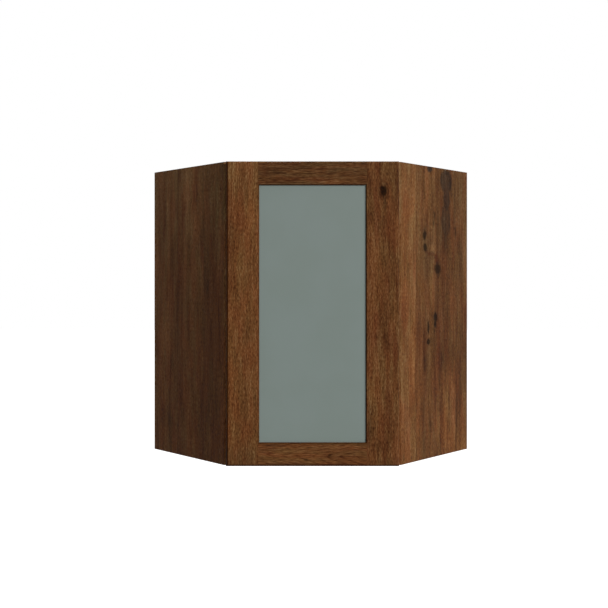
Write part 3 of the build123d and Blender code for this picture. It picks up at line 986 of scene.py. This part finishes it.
# Marks of one kind run from the top down, and in the rails from left to right.
LEFT_END_MARKS = marks({
    # Painted light: at full strength this lifts the front edge out of the door's shadow.
    Tint.LIPPING: [(-10, 381, 10.3, 3000, 1)],
    Tint.SMOKE: [
        (258, 620, 30, 140, 0.36),
        (56, 450, 30, 75, 0.3),
        (66, 450, 12, 30, 0.6),
        (44, 400, 7, 50, 0.4),
        (20, 385, 6, 40, 0.35),
        (50, 330, 34, 120, 0.26),
        (215, 245, 8, 30, 0.4),
        (20, 120, 7, 60, 0.35),
        (222, 88, 12, 22, 0.4),
    ],
    Tint.RED: [
        (140, 560, 30, 24, 0.3),
        (54, 450, 30, 70, 0.3),
        (150, 450, 30, 110, 0.25),
        (264, 440, 30, 120, 0.3),
        (178, 340, 50, 230, 0.6),
        (128, 300, 20, 260, 0.35),
        (52, 250, 30, 110, 0.3),
        (212, 220, 22, 90, 0.35),
        (200, 90, 50, 80, 0.45),
        (170, 20, 22, 50, 0.55),
    ],
    # Painted light: the broad pale marks high up lift the top of the panel, as light from above
    # would.
    Tint.PALE: [
        (40, 725, 36, 80, 0.3),
        (10, 690, 14, 150, 0.6),
        (122, 690, 52, 125, 0.8),
        (94, 670, 15, 100, 0.75),
        (236, 660, 5, 90, 0.6),
        (7, 380, 9, 420, 0.6),
        (268, 50, 26, 90, 0.5),
        (62, 30, 22, 55, 0.45),
    ],
    Tint.GREY: [
        (18, 690, 46, 150, 0.9),
        (94, 680, 18, 110, 0.55),
    ],
})

RIGHT_END_MARKS = marks({
    Tint.LIPPING: [(-10, 381, 9.8, 3000, 0.35)],
    Tint.BLOT: [
        (122, 757, 12, 10, 0.95),
        (195.5, 729, 28, 33, 0.8),
        (198, 680, 15, 32, 0.85),
        (194, 626, 21, 46, 0.55),
    ],
    Tint.KNOT: [
        (143, 635, 3.8, 12, 0.6),
        (139, 615, 3.8, 8, 0.6),
        (239, 597, 5, 15, 0.6),
        (99.5, 582, 8.2, 14, 0.95),
        (102, 550, 8.8, 11, 0.95),
        (157, 495, 15, 16, 0.95),
        (161, 478, 8, 11, 0.45),
        (148, 367.5, 8.8, 13, 0.95),
        (146, 350, 5.5, 10.5, 0.9),
        (116, 341, 4.2, 18, 0.95),
        (143, 333, 4, 5, 0.4),
        (116, 304, 9, 8, 0.98),
    ],
    Tint.SMOKE: [
        (121, 757, 9, 9, 0.6),
        (200, 752, 15, 8, 0.6),
        (173, 734, 6, 20, 0.5),
        (216, 722, 7, 34, 0.75),
        (266, 690, 24, 80, 0.34),
        (236, 660, 7, 110, 0.45),
        (212, 626, 6, 36, 0.75),
        (179, 620, 6, 45, 0.6),
        (264, 610, 22, 190, 0.26),
        (172, 580, 34, 90, 0.45),
        (192, 566, 9, 45, 0.75),
        (132, 560, 13, 60, 0.2),
        (184, 540, 16, 80, 0.22),
        (114, 536, 18, 6, 0.5),
        (116, 525, 32, 70, 0.42),
        (150, 525, 16, 8, 0.4),
        (172, 475, 24, 30, 0.22),
        (152, 430, 12, 85, 0.5),
        (74, 410, 13, 40, 0.28),
        (78, 350, 14, 60, 0.26),
        (72, 335, 6, 32, 0.5),
        (76, 320, 14, 50, 0.18),
        (46, 286, 14, 30, 0.16),
        (110, 286, 16, 30, 0.4),
        (182, 262, 6, 30, 0.45),
        (104, 260, 18, 150, 0.38),
        (101, 247, 12, 34, 0.8),
        (98, 120, 8, 150, 0.4),
        (124, 88, 10, 12, 0.55),
    ],
    Tint.RED: [
        (16, 665, 14, 35, 0.4),
        (88, 605, 6, 22, 0.6),
        (132, 555, 12, 50, 0.35),
        (107, 539, 10, 6.5, 1),
        (119, 534.5, 12, 6, 1),
        (135, 532.5, 11, 6, 1),
        (184, 530, 18, 100, 0.35),
        (150, 526.5, 12, 8.5, 1),
        (156, 517, 15, 10, 0.9),
        (106, 505, 36, 60, 0.3),
        (264, 470, 24, 50, 0.45),
        (76, 330, 13, 80, 0.65),
        (180, 330, 24, 120, 0.6),
        (106, 270, 18, 120, 0.5),
        (168, 262, 17, 60, 0.85),
        (132, 90, 13, 60, 0.35),
    ],
    Tint.PALE: [
        (105, 700, 14, 60, 0.35),
        (118, 690, 12, 70, 0.4),
        (130, 602, 4, 40, 0.6),
        (146, 600, 4, 30, 0.4),
        (131, 550, 13, 11, 1),
        (12, 480, 12, 80, 0.55),
        (220, 475, 20, 90, 0.32),
        (222, 470, 14, 70, 0.6),
        (184, 80, 26, 140, 1),
        (222, 80, 58, 150, 0.8),
        (76, 50, 15, 90, 0.75),
        (157, 50, 12, 80, 0.65),
        (264, 35, 36, 110, 1),
        (132, 28, 14, 40, 0.6),
    ],
    Tint.GREY: [(40, 720, 30, 60, 0.7)],
    Tint.GOLD: [
        (12, 600, 6, 60, 0.5),
        (131, 550, 11, 10, 0.6),
        (127, 455, 11, 70, 0.8),
        (48, 280, 13, 130, 0.5),
        (200, 130, 12, 120, 0.7),
        (76, 125, 14, 70, 0.5),
        (76, 80, 14, 60, 0.7),
        (184, 70, 26, 130, 1),
        (156, 50, 12, 70, 0.5),
        (220, 30, 30, 50, 0.8),
        (264, 25, 36, 80, 0.95),
    ],
})

LEFT_STILE_MARKS = marks({
    # Painted shade along the outer edge, which turns from the light, along the edge by the glass
    # and at the foot.
    Tint.EDGE: [
        (0, 381, 6.6, 1500, 1),
        (83, 381, 3.4, 1500, 0.55),
        (42, 1, 400, 6, 0.45),
    ],
    Tint.SMOKE: [
        (12, 600, 10, 130, 0.28),
        (62, 335, 18, 45, 0.22),
        (46, 262, 10, 14, 0.25),
        (74, 200, 10, 110, 0.22),
        (44, 12, 80, 46, 0.42),
    ],
    Tint.RED: [
        (36, 610, 16, 30, 0.45),
        (12, 580, 9, 100, 0.25),
        (10, 540, 6, 130, 0.4),
    ],
    Tint.PALE: [(66, 520, 16, 110, 0.22)],
    Tint.GOLD: [
        (62, 630, 16, 50, 0.5),
        (12, 250, 6, 140, 0.35),
    ],
})

RIGHT_STILE_MARKS = marks({
    # Painted shade along the edge by the glass, the outer edge and the foot.
    Tint.EDGE: [
        (0, 381, 2.8, 1500, 0.7),
        (82.5, 381, 4, 1500, 0.15),
        (42, 1, 400, 5.8, 0.45),
    ],
    Tint.KNOT: [(44, 686, 8.5, 14.5, 0.98, 0.7)],
    Tint.SMOKE: [
        (47, 664, 5, 20, 0.65),
        (53, 316, 12, 30, 0.25),
        (11, 138, 9, 24, 0.4),
        (5, 100, 12, 50, 0.5),
        (35, 50, 35, 25, 0.28),
        (45, 8, 70, 20, 0.3),
    ],
    Tint.RED: [
        (9, 706, 8, 24, 0.7),
        (44, 690, 20, 40, 0.45),
        (78, 690, 7, 70, 0.65),
        (26, 640, 10, 90, 0.6),
        (8, 620, 13, 20, 0.7),
        (70, 560, 5, 60, 0.7),
        (78, 450, 5, 70, 0.6),
        (55, 400, 9, 40, 0.4),
        (52, 312, 16, 42, 0.75),
        (74, 285, 9, 60, 0.9),
        (11, 245, 9, 28, 0.5),
        (55, 150, 9, 70, 0.85),
        (60, 112, 6, 50, 0.7),
        (72, 90, 10, 60, 0.4),
    ],
    Tint.PALE: [
        (56, 675, 8, 30, 0.45),
        (50, 575, 14, 30, 0.45),
        (40, 573, 8, 30, 0.35),
        (55, 530, 8, 80, 0.35),
        (26, 350, 8, 32, 0.4),
    ],
    Tint.GOLD: [(15, 180, 12, 40, 0.55)],
})

TOP_RAIL_MARKS = marks({
    # Painted shade along the edge by the glass and in a line below the top edge.
    Tint.EDGE: [
        (0, 0, 2.8, 1000, 0.15),
        (51, 0, 3, 1000, 0.25),
    ],
    Tint.SMOKE: [
        (33, -92, 7, 20, 0.3),
        (6, -90, 8, 40, 0.35),
        (43, -60, 7, 80, 0.3),
        (31, 46, 6.5, 17, 0.45),
        (40, 60, 6, 35, 0.3),
        (37, 85, 4, 9, 0.45),
    ],
    Tint.RED: [
        (29, -119, 6.5, 18, 0.85),
        (41, -119, 7, 18, 0.75),
        (30, -90, 8, 40, 0.4),
        (19, -75, 5, 35, 0.4),
        (18, -40, 12, 17, 0.55),
        (41, -40, 6, 90, 0.35),
        (30, 100, 8, 35, 0.4),
    ],
    Tint.PALE: [
        (53, -40, 6, 16, 0.6),
        (51, -30, 5, 36, 0.6),
        (8, 52, 7.5, 85, 0.6),
        (11, 95, 8, 22, 0.4),
        (40, 119, 6, 18, 0.5),
        (40.5, 121, 7, 14, 0.4),
    ],
    Tint.GOLD: [
        (19, -92, 6, 14, 0.55),
        (33, -45, 5, 30, 0.35),
        (53, 100, 6, 24, 0.8),
    ],
})

BOTTOM_RAIL_MARKS = marks({
    # Painted shade along the lower edge, which faces down, and along the edge by the glass.
    Tint.EDGE: [
        (0, 0, 7.2, 1000, 0.6),
        (59.5, 0, 3, 1000, 0.6),
    ],
    Tint.KNOT: [
        (17, -16, 2.5, 5, 0.55),
        (28, 43, 3, 4, 0.65),
    ],
    Tint.SMOKE: [
        (8, -106, 6, 30, 0.22),
        (52, -100, 5, 26, 0.6),
        # Painted shade: a dark line along the edge by the glass.
        (59.5, 0, 7.5, 1000, 0.3),
        (8, 66, 6, 14, 0.22),
        (41, 119, 6, 14, 0.26),
    ],
    Tint.RED: [
        (41, -112, 8, 28, 0.6),
        (34, -110, 5, 14, 0.7),
        (8.5, -52, 6.5, 38, 0.85),
        (30, 38, 7.5, 16, 0.6),
        (24, 80, 8, 45, 0.5),
    ],
    Tint.PALE: [
        (18, -40, 6, 50, 0.5),
        (9, 30, 5, 34, 0.4),
        (24, 90, 6, 40, 0.3),
    ],
    Tint.GOLD: [
        (11.5, 0, 3.5, 1000, 0.35),
        (44, 60, 6, 30, 0.2),
    ],
})


def dressed(name: str, material: bpy.types.Material, arris: float = 0.0) -> bpy.types.Object:
    """Give a CAD node its material.

    Args:
        name: the node's name.
        material: the material.
        arris: width of the bevel along its sharp edges, or 0 for none.

    Returns:
        The node's object.
    """
    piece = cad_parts[name]
    piece.data.materials.clear()
    piece.data.materials.append(material)
    if arris:
        merged = piece.modifiers.new("merged", "WELD")
        merged.merge_threshold = MERGE_DISTANCE
        bevel = piece.modifiers.new("arris", "BEVEL")
        bevel.width = arris
        bevel.segments = BEVEL_SEGMENTS
        bevel.limit_method = "ANGLE"
        bevel.angle_limit = SHARP
        bevel.use_clamp_overlap = True
    LOG.info("dressed %s in %s", name, material.name)
    return piece


def sheet_board(seed: float) -> Board:
    """Return a deck or shelf, whose grain runs from side to side.

    Args:
        seed: which part of the tree its veneer comes from.

    Returns:
        The board.
    """
    return Board(FLAT, seed, pith=(0.1, 0.2), taper=0.1)


@dataclass
class Carcass:
    """The end panels, decks, backs, rails, post and blocks, with their screws and pins.

    Attributes:
        arris: width of the eased edges.
        left_staves: the strips of the left end panel.
        left_marks: its marks.
        right_staves: the strips of the right end panel.
        right_marks: its marks.
    """

    arris: float = 0.0003
    left_staves: tuple[Stave, ...] = (Stave(0.080, 1.05, 3.1), Stave(0.190, 1.03, 5.3))
    left_marks: tuple[Mark, ...] = LEFT_END_MARKS
    right_staves: tuple[Stave, ...] = (
        Stave(0.062, 0.78, 4.2),
        Stave(0.168, 0.71, 3.7),
        Stave(0.240, 0.70, 5.9),
    )
    right_marks: tuple[Mark, ...] = RIGHT_END_MARKS

    def build(self) -> None:
        """Dress every piece of the carcass."""
        self._end_panels()
        self._decks()
        self._backs()
        self._small_pieces()

    def _end_panels(self) -> None:
        """Dress the two end panels, whose strips run up and down."""
        left = Board(
            LEFT_END,
            seed=1.7,
            tone=0.74,
            gold=0.1,
            coarse=1.15,
            fine=0.9,
            painted_top_light=0.40,
            staves=self.left_staves,
            marks=self.left_marks,
        )
        right = Board(
            RIGHT_END,
            seed=8.3,
            gold=0.2,
            coarse=1.2,
            fine=0.9,
            painted_top_light=0.22,
            staves=self.right_staves,
            marks=self.right_marks,
        )
        dressed("left_end_panel", KNOTTY.material("left_end_wood", left), self.arris)
        dressed("right_end_panel", KNOTTY.material("right_end_wood", right), self.arris)

    def _decks(self) -> None:
        """Dress the top and bottom panels and the corner post."""
        deck = VENEERED.material("deck_wood", sheet_board(3.3))
        post = VENEERED.material("post_wood", Board(UPRIGHT, seed=5.1))
        for name in ("top_panel", "bottom_panel"):
            dressed(name, deck, self.arris)
        dressed("corner_post", post, self.arris)

    def _backs(self) -> None:
        """Dress the back panels and the hanging rails along both walls."""
        for side, back_lie, back_pith, rail_lie, rail_pith in (
            ("left", LEFT_BACK, (0.30, 0.05), LEFT_RAIL, (0.045, 0.030)),
            ("right", RIGHT_BACK, (0.41, 0.07), RIGHT_RAIL, (0.020, 0.022)),
        ):
            back = Board(
                back_lie,
                seed=10 * back_pith[0],
                pith=back_pith,
                taper=0.15,
                ring=0.014,
                wander=1.5,
                stretch=3.0,
            )
            rail = Board(
                rail_lie,
                seed=back.seed + 3,
                pith=rail_pith,
                taper=0.02,
                ring=SOFTWOOD_RING,
                wander=1.0,
                stretch=3.0,
            )
            dressed(f"back_panel_{side}", PLYWOOD.material(f"ply_{side}", back))
            softwood = SOFTWOOD.material(f"rail_softwood_{side}", rail)
            for level in ("top", "bottom"):
                dressed(f"hanging_rail_{level}_{side}", softwood, self.arris)

    def _small_pieces(self) -> None:
        """Dress the glue blocks, dowels, screws and shelf pins."""
        block = Board(FLAT, seed=9.1, ring=SOFTWOOD_RING)
        dressed("glue_blocks", SOFTWOOD.material("block_softwood", block), self.arris)
        dressed("frame_dowels", BEECH.material("dowel_beech", Board(LEVEL, seed=4.4)))
        dressed("rail_screws", ZINC.material("screw_zinc"))
        dressed("shelf_pins", NICKEL.material("pin_nickel"))


@dataclass
class FaceFrame:
    """The frame on the cabinet's front, which the door closes against.

    Attributes:
        arris: width of the eased edges.
    """

    arris: float = 0.0003

    def build(self) -> None:
        """Dress the frame's stiles and rails."""
        stile = KNOTTY.material("frame_stile_wood", Board(UPRIGHT, seed=12.5, tone=1.15))
        rail = KNOTTY.material("frame_rail_wood", Board(LEVEL, seed=13.7))
        for side in ("left", "right"):
            dressed(f"frame_stile_{side}", stile, self.arris)
        for level in ("top", "bottom"):
            dressed(f"frame_rail_{level}", rail, self.arris)


@dataclass
class Door:
    """The framed door with its frosted pane, seal, beads, nails and bumpers.

    Attributes:
        left_marks: the marks of its left stile.
        right_marks: the marks of its right stile.
        top_marks: the marks of its top rail.
        bottom_marks: the marks of its bottom rail.
    """

    left_marks: tuple[Mark, ...] = LEFT_STILE_MARKS
    right_marks: tuple[Mark, ...] = RIGHT_STILE_MARKS
    top_marks: tuple[Mark, ...] = TOP_RAIL_MARKS
    bottom_marks: tuple[Mark, ...] = BOTTOM_RAIL_MARKS

    def build(self) -> None:
        """Dress every piece of the door."""
        self._stiles()
        self._rails()
        self._glazing()

    def _stiles(self) -> None:
        """Dress the two stiles, whose grain runs up and down."""
        left = Board(
            UPRIGHT.moved((-DOOR_HALF, DOOR_FRONT_Y, 0)),
            seed=20.6,
            tone=0.99,
            red=0.3,
            gold=0.2,
            coarse=0.5,
            fine=1.1,
            painted_top_light=0.10,
            marks=self.left_marks,
        )
        right = Board(
            UPRIGHT.moved((SIGHT_HALF, DOOR_FRONT_Y, 0)),
            seed=24.9,
            tone=0.88,
            red=0.7,
            gold=0.2,
            coarse=0.85,
            fine=1.15,
            marks=self.right_marks,
        )
        dressed("door_left_stile", KNOTTY.material("left_stile_wood", left))
        dressed("door_right_stile", KNOTTY.material("right_stile_wood", right))

    def _rails(self) -> None:
        """Dress the two rails, whose grain runs from side to side."""
        top = Board(
            LEVEL.moved((0, DOOR_FRONT_Y, SIGHT_TOP)),
            seed=31.2,
            tone=0.65,
            gold=0.2,
            coarse=0.9,
            fine=1.3,
            stretch=2.0,
            marks=self.top_marks,
        )
        bottom = Board(
            LEVEL.moved((0, DOOR_FRONT_Y, DOOR_BOTTOM)),
            seed=35.8,
            tone=0.94,
            red=0.4,
            gold=0.2,
            coarse=0.55,
            fine=0.9,
            figure=2.0,
            pith=(0.027, 0.008),
            taper=0.22,
            ring=0.0085,
            wander=1.6,
            stretch=2.0,
            marks=self.bottom_marks,
        )
        dressed("door_top_rail", KNOTTY.material("top_rail_wood", top))
        dressed("door_bottom_rail", KNOTTY.material("bottom_rail_wood", bottom))

    def _glazing(self) -> None:
        """Dress the pane and what holds it."""
        dressed("glass_pane", GLASS.material("frosted_pane"))
        dressed("glass_seal", SEAL.material("seal_rubber"))
        upright = KNOTTY.material("bead_wood_upright", Board(UPRIGHT, seed=41.3))
        level = KNOTTY.material("bead_wood_level", Board(LEVEL, seed=43.9))
        for side in ("left", "right"):
            dressed(f"glazing_bead_{side}", upright)
        for side in ("top", "bottom"):
            dressed(f"glazing_bead_{side}", level)
        dressed("bead_nails", BRASS.material("nail_brass"))
        dressed("door_bumpers", BUMPER.material("bumper_plastic"))


@dataclass
class Hinges:
    """The two concealed hinges on the left.

    Attributes:
        plated: the pieces plated with nickel.
        bright: the pieces of bright zinc-plated steel.
    """

    plated: tuple[str, ...] = (
        "hinge_plates",
        "hinge_plate_screws",
        "hinge_arms",
        "hinge_adjusters",
        "hinge_cups",
        "hinge_cup_screws",
    )
    bright: tuple[str, ...] = ("hinge_pins", "hinge_springs")

    def build(self) -> None:
        """Dress the hinges' pieces."""
        nickel = NICKEL.material("hinge_nickel")
        zinc = ZINC.material("hinge_zinc")
        for name in self.plated:
            dressed(name, nickel)
        for name in self.bright:
            dressed(name, zinc)


@dataclass
class Shelves:
    """The two adjustable shelves and their front edgings.

    Attributes:
        arris: width of the eased edges.
    """

    arris: float = 0.0003

    def build(self) -> None:
        """Dress both shelves."""
        for level, seed in (("lower", 51.2), ("upper", 57.4)):
            board = VENEERED.material(f"shelf_wood_{level}", sheet_board(seed))
            edging = KNOTTY.material(f"edging_wood_{level}", Board(LEVEL, seed + 2))
            dressed(f"shelf_{level}", board, self.arris)
            dressed(f"shelf_edging_{level}", edging, self.arris)


@dataclass(frozen=True)
class Sun:
    """A light that is far away.

    Attributes:
        side: how far it stands to the right of straight ahead, in degrees.
        rise: how high it stands, in degrees.
        strength: its strength, where 1 lights a white face that faces it to white.
        spread: its breadth in the sky, in degrees.
    """

    side: float
    rise: float
    strength: float
    spread: float

    def hang(self, name: str) -> None:
        """Add the light to the scene.

        Args:
            name: the light's name.
        """
        light = bpy.data.lights.new(name, "SUN")
        light.energy = self.strength * pi
        light.angle = radians(self.spread)
        lamp = bpy.data.objects.new(name, light)
        side, rise = radians(self.side), radians(self.rise)
        towards = Vector((sin(side) * cos(rise), -cos(side) * cos(rise), sin(rise)))
        lamp.rotation_euler = towards.to_track_quat("Z", "Y").to_euler()
        bpy.context.scene.collection.objects.link(lamp)


@dataclass
class Studio:
    """The camera, the lights, the floor and the white surroundings.

    Attributes:
        eye: the camera's place.
        lens: its focal length in millimetres.
        film: its film's width in millimetres.
        shift: its shift across and up.
        hanging_height: height of the cabinet's underside over the floor.
        surround: strength of the light from all round.
        key: the main light, in front and to the right.
        back: the light behind the cabinet.
        floor_seen: the floor's colour to the eye.
        floor_lit: the floor's colour to the light that it throws back.
        floor_dullness: how dull the floor is.
        floor_reach: half its width.
    """

    eye: Point = (-0.0445, -2.437, 0.460)
    lens: float = 50.15
    film: float = 36.0
    shift: tuple[float, float] = (0.0154, -0.0361)
    hanging_height: float = 1.372
    surround: float = 0.35
    key: Sun = Sun(side=43.0, rise=28.0, strength=0.95, spread=4.5)
    back: Sun = Sun(side=180.0, rise=48.0, strength=0.7, spread=30.0)
    floor_seen: Colour = (0.97, 0.97, 0.97)
    floor_lit: Colour = (0.3, 0.3, 0.3)
    floor_dullness: float = 0.9
    floor_reach: float = 30.0

    def build(self) -> None:
        """Set up the studio."""
        self._camera()
        self.key.hang("key_light")
        self.back.hang("back_light")
        self._surroundings()
        self._floor()
        bpy.context.scene.view_settings.view_transform = "Standard"

    def _camera(self) -> None:
        """Place the camera, level and looking along +Y."""
        lens = bpy.data.cameras.new("camera")
        lens.lens = self.lens
        lens.sensor_width = self.film
        lens.shift_x, lens.shift_y = self.shift
        camera = bpy.data.objects.new("camera", lens)
        camera.location = self.eye
        camera.rotation_euler = (pi / 2, 0.0, 0.0)
        bpy.context.scene.collection.objects.link(camera)
        bpy.context.scene.camera = camera

    def _surroundings(self) -> None:
        """Make the surroundings white to look at, and a plain soft light."""
        world = bpy.data.worlds.new("surroundings")
        bpy.context.scene.world = world
        graph = Graph(world)
        strength = self.surround + graph.seen() * (1 - self.surround)
        sockets = {"Color": WHITE, "Strength": strength}
        graph.finish("ShaderNodeBackground", "ShaderNodeOutputWorld", sockets)

    def _floor(self) -> None:
        """Lay a pale floor that takes the cabinet's shadow."""
        corners = [
            (self.floor_reach * across, self.floor_reach * back, -self.hanging_height)
            for across, back in ((-1, -1), (1, -1), (1, 1), (-1, 1))
        ]
        mesh = bpy.data.meshes.new("floor")
        mesh.from_pydata(corners, [], [range(4)])
        floor = bpy.data.objects.new("floor", mesh)
        bpy.context.scene.collection.objects.link(floor)
        graph = Surface("floor_paint")
        paint = graph.coated({
            "Base Color": graph.mixed(graph.seen(), self.floor_lit, self.floor_seen),
            "Roughness": self.floor_dullness,
            "Specular IOR Level": 0.0,
        })
        mesh.materials.append(paint)
        floor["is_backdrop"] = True


def box_lists() -> list[list[float]]:
    """Return the shown object's lowest and highest corners as plain lists."""
    return [list(corner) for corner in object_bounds()]


def main(cad_box: list[list[float]]) -> None:
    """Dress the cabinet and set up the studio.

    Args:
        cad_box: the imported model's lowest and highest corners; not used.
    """
    for assembly in (Carcass(), FaceFrame(), Door(), Hinges(), Shelves(), Studio()):
        assembly.build()
        LOG.info("built %s", type(assembly).__name__)


if __name__ == "__main__":
    logging.basicConfig(level=logging.INFO)
    main(box_lists())
